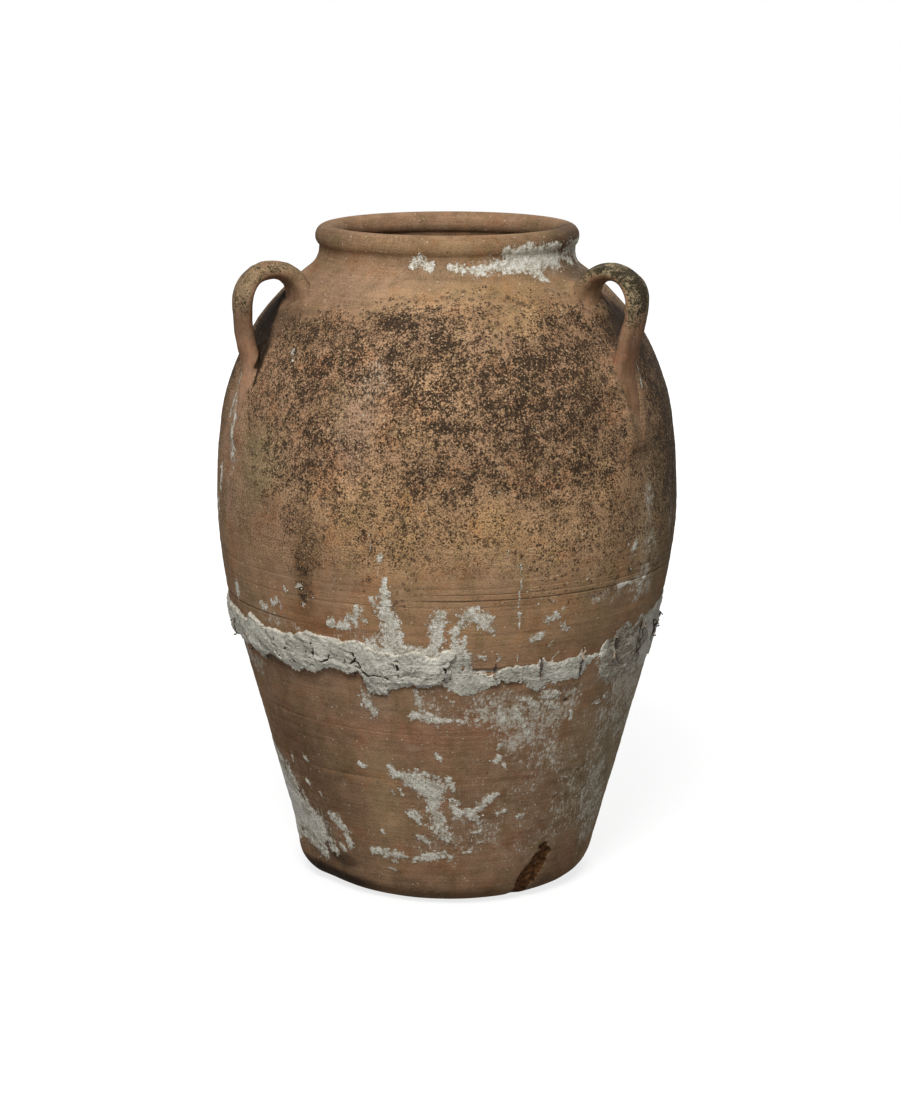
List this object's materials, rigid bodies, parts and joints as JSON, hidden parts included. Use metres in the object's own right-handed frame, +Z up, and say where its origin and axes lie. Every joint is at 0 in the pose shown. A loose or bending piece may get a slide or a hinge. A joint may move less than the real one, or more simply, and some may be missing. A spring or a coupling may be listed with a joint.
{
  "type": "olive jar",
  "caption": "Tall terracotta storage jar with a rolled rim and strap handles, broken at the belly and mended with wire ties and lime mortar.",
  "frame": {"origin": "centre of the foot's flat underside, on the jar's upright axis", "axes": "+Z up the jar's axis; -Y is the front as pictured, +X to the right"},
  "size_m": [0.5009, 0.501, 0.714],
  "materials": {
    "clay_lower": "matt weathered terracotta, lime-washed in patches",
    "clay_upper": "matt weathered terracotta with dark lichen",
    "clay_handles": "matt hand-smoothed terracotta",
    "lime_mortar": "rough cracked lime mortar",
    "rusty_wire": "dull rust"
  },
  "bodies": {
    "root": {"lower_body": "clay_lower", "upper_body": "clay_upper", "handle_left": "clay_handles", "handle_right": "clay_handles", "handle_back": "clay_handles", "joint_bed": "lime_mortar", "outer_mortar": "lime_mortar", "inner_mortar": "lime_mortar", "wire_tie_01": "rusty_wire", "wire_tie_02": "rusty_wire", "wire_tie_03": "rusty_wire", "wire_tie_04": "rusty_wire", "wire_tie_05": "rusty_wire", "wire_tie_06": "rusty_wire", "wire_tie_07": "rusty_wire", "wire_tie_08": "rusty_wire", "wire_tie_09": "rusty_wire", "wire_tie_10": "rusty_wire", "wire_tie_11": "rusty_wire", "wire_tie_12": "rusty_wire", "wire_tie_13": "rusty_wire", "wire_tie_14": "rusty_wire", "wire_tie_15": "rusty_wire", "wire_tie_16": "rusty_wire", "wire_tie_17": "rusty_wire", "wire_tie_18": "rusty_wire", "wire_tie_19": "rusty_wire", "wire_tie_20": "rusty_wire", "wire_tie_21": "rusty_wire", "wire_tie_22": "rusty_wire", "wire_tie_23": "rusty_wire", "wire_tie_24": "rusty_wire", "wire_tie_25": "rusty_wire", "wire_tie_26": "rusty_wire", "wire_tie_27": "rusty_wire", "wire_tie_28": "rusty_wire", "wire_tie_29": "rusty_wire"}
  },
  "joints": []
}
